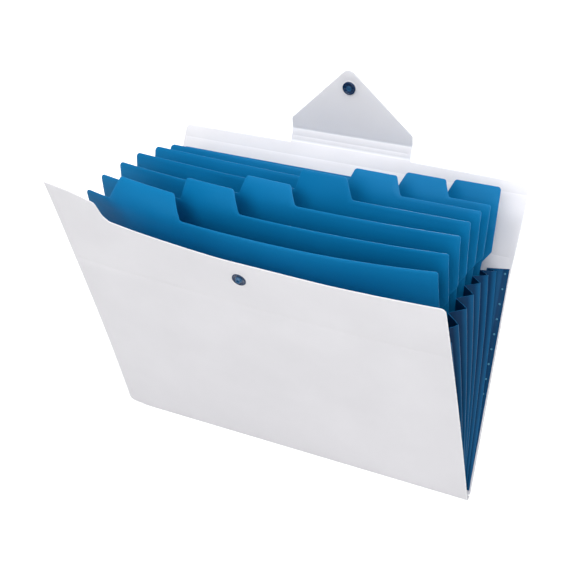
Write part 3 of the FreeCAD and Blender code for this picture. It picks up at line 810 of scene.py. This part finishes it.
def pleat_section(number, side, share):
    """The V of film between two sheets, from share 0 at its foot to share 1 at its top edge."""
    face = {0: HALF_SHEET, REAR: HALF_SHEET}
    panel = PANEL + PANEL_EXTRA.get(number, 0.0)
    foot_depth = FOOT_DEPTH + FOOT_EXTRA.get(number, 0.0)
    ends = []
    for sheet, inward in ((number - 1, 1), (number, -1)):
        v = GUSSET_FOOT + share * (film_top(sheet) - GUSSET_FOOT)
        off = inward * (face.get(sheet, DIVIDER_SHEET / 2) + 0.6 * FILM)
        ends.append(SHEETS[sheet].place(side * FLANGE_INNER, v, off))
    middle, across = (ends[0] + ends[1]) / 2, (ends[1] - ends[0]) / 2
    half = float(np.linalg.norm(across))
    facing = across / half
    depth = foot_depth + (math.sqrt(panel ** 2 - half ** 2) - foot_depth) * share
    bulge = PANEL_BULGE * math.sin(math.pi * share)
    blunt = min(FOLD_ROUND, 0.45 * half)
    front = [(0.0, -half), (0.3 * depth, -0.7 * half - bulge),
             (depth - SHADE_RUN, -half * SHADE_RUN / depth - 0.5 * blunt),
             (depth - 1.1 * blunt, -blunt), (depth - 0.3 * blunt, -0.75 * blunt),
             (depth, -0.3 * blunt)]
    rear = [(out, -along) for out, along in reversed(front)]
    section = ribbon_outline([*front, *rear], FILM)
    return [middle + np.array([side * out, 0.0, 0.0]) + along * facing for out, along in section]


def add_pleats():
    film = [MATERIALS["gusset"], MATERIALS["gusset_rim_highlight"]]
    for name, side in SIDES.items():
        for number in range(1, REAR + 1):
            sections = [pleat_section(number, side, share) for share in np.linspace(0, 1, 32)]
            piece = lofted_object(f"gusset_{name}_film_{number}", sections, film,
                                  tints=(PLEAT_PAINTED_LIGHT + PLEAT_PAINTED_LIGHT[::-1]) * 2)
            body = f"divider_{number}" if number < REAR else "rear_cover"
            dress(piece, body, "gusset_sheet", f"gusset_{name}_pleat_{number}")
            flatten(piece)


def dome(centre, facing, along, radius, height, rings=3, sides=14):
    """Points and faces of a low dome that stands on a surface."""
    across = np.cross(facing, along)
    points = [centre + facing * height]
    faces = [[0, 1 + step, 1 + (step + 1) % sides] for step in range(sides)]
    for ring in range(1, rings + 1):
        angle = math.pi / 2 * ring / rings
        for step in range(sides):
            turn = 2 * math.pi * step / sides
            spoke = along * math.cos(turn) + across * math.sin(turn)
            lift = facing * height * math.cos(angle)
            points.append(centre + spoke * radius * math.sin(angle) + lift)
    for ring in range(rings - 1):
        inner, outer = 1 + ring * sides, 1 + (ring + 1) * sides
        for step in range(sides):
            after = (step + 1) % sides
            faces.append([inner + step, outer + step, outer + after, inner + after])
    rim = 1 + (rings - 1) * sides
    faces.append([rim + step for step in range(sides)])
    return points, faces


def flange_outer(v):
    """Where a flange ends. It follows the cover's slanting edge."""
    return FLANGE_OUTER + FLANGE_LEAN * (GUSSET_TOP - v)


def add_welds(label, body, sheet, side, inward, top):
    """The row of weld dots down a flange."""
    points, faces = [], []
    off = inward * (HALF_SHEET + FILM)
    for v in np.arange(top - WELD_DROP, WELD_PITCH, -WELD_PITCH):
        x = side * (flange_outer(v) - WELD_INSET)
        facing = sheet.facing(x, v) * inward
        spot, fan = dome(sheet.place(x, v, off), facing, sheet.up, WELD_RADIUS, WELD_HEIGHT)
        faces += [[len(points) + index for index in face] for face in fan]
        points += spot
    dots = new_object(f"{label}_welds", points, faces, [MATERIALS["weld"]], weld=0.01)
    flatten(dress(dots, body, "gusset_sheet"))


def flange_section(sheet, side, inward, v):
    """A flange lies on the cover along its welds and lifts off it towards the pleats."""
    outer = flange_outer(v)
    bend = outer - WELD_INSET - BEND_INSET
    lift = FLANGE_LIFT * v / GUSSET_TOP
    under = [(FLANGE_INNER, lift), (bend - BEND_RUN, lift), (bend, 0), (outer, 0)]
    over = [(x, rise + FILM) for x, rise in reversed(under)]
    off = HALF_SHEET + FLANGE_GAP
    return [sheet.place(side * x, v + FLANGE_RISE * (x - FLANGE_INNER) * v / GUSSET_TOP,
                        inward * (off + rise)) for x, rise in under + over]


def add_flanges():
    """Flanges of film welded to the covers' inner faces."""
    film = [MATERIALS["gusset"], MATERIALS["gusset_rim_highlight"]]
    for name, side in SIDES.items():
        for cover, number, inward in (("front", 0, 1), ("rear", REAR, -1)):
            sheet, top = SHEETS[number], film_top(number)
            sections = [flange_section(sheet, side, inward, v)
                        for v in np.linspace(GUSSET_FOOT, top, 30)]
            label = f"gusset_{name}_{cover}_flange"
            piece = lofted_object(f"{label}_film", sections, film, tints=FLANGE_PAINTED_LIGHT)
            flatten(dress(piece, f"{cover}_cover", "gusset_sheet", label))
            add_welds(label, f"{cover}_cover", sheet, side, inward, top)


def turned_object(name, sheet, v, profile, body, node, shape=None, highlight=0.0, sides=64):
    """A round snap part turned about the snap's axis. The profile is radius and height off the
    sheet's middle, towards the front. Points inside the highlight radius take the highlight value,
    a painted highlight on the part's centre."""
    points, faces = [], []
    profile = [(radius * SNAP_SCALE, height) for radius, height in profile]
    tints = [highlight if radius < HIGHLIGHT_RADIUS else 0.0 for radius, _ in profile for _ in range(sides)]
    centre = sheet.place(0.0, v)
    across = np.array([1.0, 0.0, 0.0])
    for radius, height in profile:
        for step in range(sides):
            turn = 2 * math.pi * step / sides
            lift = height + (shape(radius, turn) if shape else 0.0)
            spoke = across * math.cos(turn) + sheet.up * math.sin(turn)
            points.append(centre + spoke * radius - sheet.normal * lift)
    for low in range(0, (len(profile) - 1) * sides, sides):
        for step in range(sides):
            after, high = (step + 1) % sides, low + sides
            faces.append([low + step, low + after, high + after, high + step])
    piece = new_object(name, points, faces, [MATERIALS["snap"]], sharp=50.0, tints=tints)
    dress(piece, body, "snap", node)


def spring_slots(radius, turn, slots=8, inner=2.7, outer=4.4, depth=0.4):
    """Sinks short slots into the dish of a socket, as between its spring lips."""
    if inner <= radius <= outer:
        return -depth * (0.5 + 0.5 * math.cos(slots * turn)) ** 3
    return 0.0


def heights(*profile, side=1):
    """A profile whose heights are measured from the cover's face."""
    return [(radius, side * (HALF_SHEET + height)) for radius, height in profile]


def add_snaps():
    stud = heights(
        (0.0, 0.0), (5.9, 0.0), (6.2, 0.15), (6.25, 0.5), (6.0, 0.85), (5.5, 0.95), (4.9, 0.85),
        (4.4, 0.45), (3.6, 0.35), (2.7, 0.4), (2.5, 0.6), (2.45, 1.9), (2.3, 2.15), (2.0, 2.2),
        (1.6, 2.1), (1.45, 1.7), (1.4, 0.7), (0.0, 0.6))
    # the stud's centre takes a painted highlight
    turned_object("cover_stud", SHEETS[0], SNAP_LEVEL, stud, "front_cover", "cover_snap_stud",
                  highlight=0.75)
    post = heights(
        (0.0, 0.0), (5.3, 0.0), (5.6, 0.2), (5.5, 0.55), (5.1, 0.75), (4.0, 0.8), (0.0, 0.8),
        side=-1)
    turned_object("cover_post_cap", SHEETS[0], SNAP_LEVEL, post, "front_cover",
                  "cover_snap_post")
    socket = heights(
        (0.0, 0.0), (5.9, 0.0), (6.2, 0.15), (6.25, 1.3), (6.05, 1.7), (5.6, 1.85), (5.0, 1.8),
        (4.6, 1.55), (4.2, 1.45), (3.4, 1.35), (2.85, 1.3), (2.65, 1.1), (2.65, 0.55),
        (1.7, 0.5), (1.5, 0.75), (0.9, 0.85), (0.0, 0.85))
    # the socket's centre takes a painted highlight
    turned_object("flap_socket", FLAP, SOCKET_LEVEL, socket, "closing_flap",
                  "flap_snap_socket", spring_slots, highlight=0.6)
    cap = heights(
        (0.0, 0.0), (5.9, 0.0), (6.2, 0.2), (6.15, 0.5), (5.8, 0.8), (5.0, 1.0), (3.5, 1.1),
        (0.0, 1.1), side=-1)
    turned_object("flap_cap", FLAP, SOCKET_LEVEL, cap, "closing_flap", "flap_snap_cap")


# ---------------------------------------------------------------- stage

CAMERA_PLACE = (0.35077, -0.73789, 0.52878)
CAMERA_AZIMUTH, CAMERA_ELEVATION, CAMERA_ROLL = 25.873, 24.546, 1.636
LENS = 67.784
FLOOR_REACH, FLOOR_TONE = 30.0, 0.55
WORLD_STRENGTH = 0.16

# lamps: name, place, size and power in watts
LAMPS = (
    ("front", (0.05, -1.6, 0.9), 0.9, 12),
    ("high_right", (0.9, -0.6, 1.6), 1.0, 15),
    ("high_left", (-0.8, -0.75, 1.5), 0.8, 9),
    ("low_right", (0.5, -1.2, 0.2), 0.4, 1.9),
    ("back", (-0.3, 1.7, 0.9), 0.9, 12),
)
AIM = (0, 0, 0.12)


def add_camera():
    data = bpy.data.cameras.new("camera")
    data.lens = LENS
    data.sensor_width = 36.0
    data.clip_end = 50.0
    camera = bpy.data.objects.new("camera", data)
    bpy.context.scene.collection.objects.link(camera)
    turn = Matrix.Rotation(math.radians(CAMERA_AZIMUTH), 4, "Z")
    tilt = Matrix.Rotation(math.radians(90 - CAMERA_ELEVATION), 4, "X")
    roll = Matrix.Rotation(math.radians(CAMERA_ROLL), 4, "Z")
    camera.matrix_world = Matrix.Translation(CAMERA_PLACE) @ turn @ tilt @ roll
    bpy.context.scene.camera = camera


def seen(tree):
    """1 for rays that come straight from the camera or by way of gloss or glass, else 0."""
    path = tree.nodes.new("ShaderNodeLightPath")
    value = path.outputs["Is Camera Ray"]
    for name in ("Is Glossy Ray", "Is Transmission Ray"):
        either = tree.nodes.new("ShaderNodeMath")
        either.operation = "MAXIMUM"
        tree.links.new(value, either.inputs[0])
        tree.links.new(path.outputs[name], either.inputs[1])
        value = either.outputs["Value"]
    return value


def ranged(tree, value, low, high):
    node = tree.nodes.new("ShaderNodeMapRange")
    node.inputs["To Min"].default_value = low
    node.inputs["To Max"].default_value = high
    tree.links.new(value, node.inputs["Value"])
    return node.outputs["Result"]


def add_floor():
    """A floor that looks white, reflects as pale grey and keeps the object's shadow."""
    reach = FLOOR_REACH
    mesh = bpy.data.meshes.new("floor")
    corners = [(-reach, -reach, 0), (reach, -reach, 0), (reach, reach, 0), (-reach, reach, 0)]
    mesh.from_pydata(corners, [], [(0, 1, 2, 3)])
    floor = bpy.data.objects.new("floor", mesh)
    bpy.context.scene.collection.objects.link(floor)
    nodes = Nodes("floor")
    nodes.shader.inputs["Base Color"].default_value = (FLOOR_TONE, FLOOR_TONE, FLOOR_TONE, 1)
    nodes.shader.inputs["Roughness"].default_value = 0.9
    nodes.shader.inputs["Specular IOR Level"].default_value = 0.0
    nodes.shader.inputs["Emission Color"].default_value = (1, 1, 1, 1)
    lift = ranged(nodes.tree, seen(nodes.tree), 0.0, 1.0)
    nodes.link(lift, nodes.shader.inputs["Emission Strength"])
    mesh.materials.append(nodes.material)
    floor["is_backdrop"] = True


def add_light(name, place, size, power):
    data = bpy.data.lights.new(name, "AREA")
    data.size = size
    data.energy = power
    light = bpy.data.objects.new(name, data)
    bpy.context.scene.collection.objects.link(light)
    light.location = place
    direction = Vector(AIM) - Vector(place)
    light.rotation_mode = "QUATERNION"
    light.rotation_quaternion = direction.to_track_quat("-Z", "Y")


def add_world():
    world = bpy.data.worlds.new("world")
    bpy.context.scene.world = world
    world.use_nodes = True
    tree = world.node_tree
    background = tree.nodes["Background"]
    background.inputs["Color"].default_value = (1, 1, 1, 1)
    tree.links.new(ranged(tree, seen(tree), WORLD_STRENGTH, 1.0), background.inputs["Strength"])


def add_stage():
    add_camera()
    add_floor()
    add_world()
    for lamp in LAMPS:
        add_light(*lamp)
    bpy.context.scene.view_settings.view_transform = "Standard"


def write_sizes():
    boxes = {"cad": CAD_BOX, "shown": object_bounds()}
    boxes = {name: [list(corner) for corner in box] for name, box in boxes.items()}


add_covers()
add_closure()
add_webs()
add_dividers()
add_pleats()
add_flanges()
add_snaps()
add_stage()
write_sizes()
